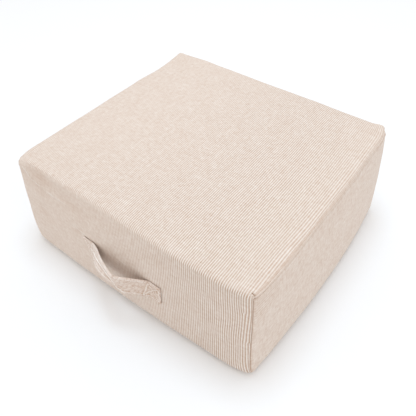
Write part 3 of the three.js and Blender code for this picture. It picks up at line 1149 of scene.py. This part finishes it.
def studio_floor(look):
    """Painted board, rolled: a matt pale floor on which the roller left a very faint grain."""
    material, add = new_material("painted_board_rolled")
    place = add("TexCoord").outputs["Object"]
    grain = add("TexNoise", {"Vector": place, "Scale": 3.0, "Detail": 2.0})
    dark, light = (*[c * 0.995 for c in look.floor_colour], 1), (*look.floor_colour, 1)
    colour = add("Mix", {MIX_FACTOR: grain, MIX_A: dark, MIX_B: light}, data_type="RGBA")
    shader = add("BsdfPrincipled", {"Base Color": colour, "Roughness": 1.0, "Specular IOR Level": 0.0})
    add("OutputMaterial", {"Surface": shader})
    return material


# ---------------------------------------------------------------- stage
def set_stage(context):
    """A wide floor, an even pale sky, a soft box straight above and one on the right, which both look at the
    cushion's middle, and the camera."""
    scene, look = context.scene, context.scene.cushion_stage
    scene.view_settings.view_transform = "Standard"
    scene.view_settings.look = "None"

    corners = FLOOR_REACH * np.array([(-1, -1, 0), (1, -1, 0), (1, 1, 0), (-1, 1, 0)])
    floor = new_object("floor", corners, np.array([[0, 1, 2, 3]]))
    floor.data.materials.append(studio_floor(look))

    world = bpy.data.worlds.new("studio")
    world.use_nodes = True
    world.node_tree.nodes.clear()
    add = node_maker(world.node_tree)
    sky = add("Background", {"Color": (*look.sky_colour, 1), "Strength": look.sky})
    add("OutputWorld", {"Surface": sky})
    scene.world = world

    # name, power, size and place in metres
    boxes = (
        ("soft_box_above", look.overhead, 1.2, (0.0, 0.0, 3.0)),
        ("soft_box_right", look.side, 2.4, (2.5, 0.1, 1.8)),
    )
    for name, power, size, place in boxes:
        lamp = bpy.data.lights.new(name, "AREA")
        lamp.shape, lamp.size, lamp.energy, lamp.color = "DISK", size, power, look.lamp_colour
        box = bpy.data.objects.new(name, lamp)
        box.location = place
        box.rotation_euler = (LIT_MIDDLE - box.location).to_track_quat("-Z", "Y").to_euler()
        scene.collection.objects.link(box)

    camera = bpy.data.cameras.new("camera")
    camera.sensor_width = 36.0
    camera.lens = look.lens
    camera.shift_x, camera.shift_y = CAMERA["shift"]
    camera.clip_start, camera.clip_end = 0.05, 60.0
    eye = bpy.data.objects.new("camera", camera)
    turns = Euler([math.radians(turn) for turn in CAMERA["turns"]])
    eye.matrix_world = Matrix.LocRotScale(Vector(CAMERA["place"]) * MM, turns, None)
    scene.collection.objects.link(eye)
    scene.camera = eye


# ---------------------------------------------------------------- operators
class CUSHION_OT_sew_cover(bpy.types.Operator):
    """Make the swollen cover with its seams, and hide the plain block it replaces"""

    bl_idname = "cushion.sew_cover"
    bl_label = "Sew the cover"

    def execute(self, context):
        sew_cover(context)
        return {"FINISHED"}


class CUSHION_OT_sew_strap(bpy.types.Operator):
    """Make the carrying strap and its stitches on the cover's front"""

    bl_idname = "cushion.sew_strap"
    bl_label = "Sew the strap"

    def execute(self, context):
        strap, length = sew_strap(context)
        thread = sew_stitches(context)
        return {"FINISHED"}


class CUSHION_OT_set_stage(bpy.types.Operator):
    """Lay the pale floor, hang the soft light and place the camera"""

    bl_idname = "cushion.set_stage"
    bl_label = "Set the stage"

    def execute(self, context):
        set_stage(context)
        return {"FINISHED"}


class CUSHION_PT_sidebar(bpy.types.Panel):
    """Lists the making steps and their settings"""

    bl_idname = "CUSHION_PT_sidebar"
    bl_label = "Jumping cushion"
    bl_space_type = "VIEW_3D"
    bl_region_type = "UI"
    bl_category = "Cushion"

    def draw(self, context):
        steps = (
            (CUSHION_OT_sew_cover, context.scene.cushion_cover),
            (CUSHION_OT_sew_strap, context.scene.cushion_strap),
            (CUSHION_OT_set_stage, context.scene.cushion_stage),
        )
        for step, settings in steps:
            box = self.layout.box()
            for name in settings.__annotations__:
                box.prop(settings, name)
            box.operator(step.bl_idname)


CLASSES = (
    CoverSizes,
    StrapSizes,
    StageLook,
    CUSHION_OT_sew_cover,
    CUSHION_OT_sew_strap,
    CUSHION_OT_set_stage,
    CUSHION_PT_sidebar,
)


def register():
    for cls in CLASSES:
        bpy.utils.register_class(cls)
    bpy.types.Scene.cushion_cover = PointerProperty(type=CoverSizes)
    bpy.types.Scene.cushion_strap = PointerProperty(type=StrapSizes)
    bpy.types.Scene.cushion_stage = PointerProperty(type=StageLook)


def unregister():
    for name in ("cushion_cover", "cushion_strap", "cushion_stage"):
        delattr(bpy.types.Scene, name)
    for cls in reversed(CLASSES):
        bpy.utils.unregister_class(cls)


def main():
    """Makes everything in order."""
    register()
    bpy.ops.cushion.sew_cover()
    bpy.ops.cushion.sew_strap()
    bpy.ops.cushion.set_stage()


if __name__ == "__main__":
    main()
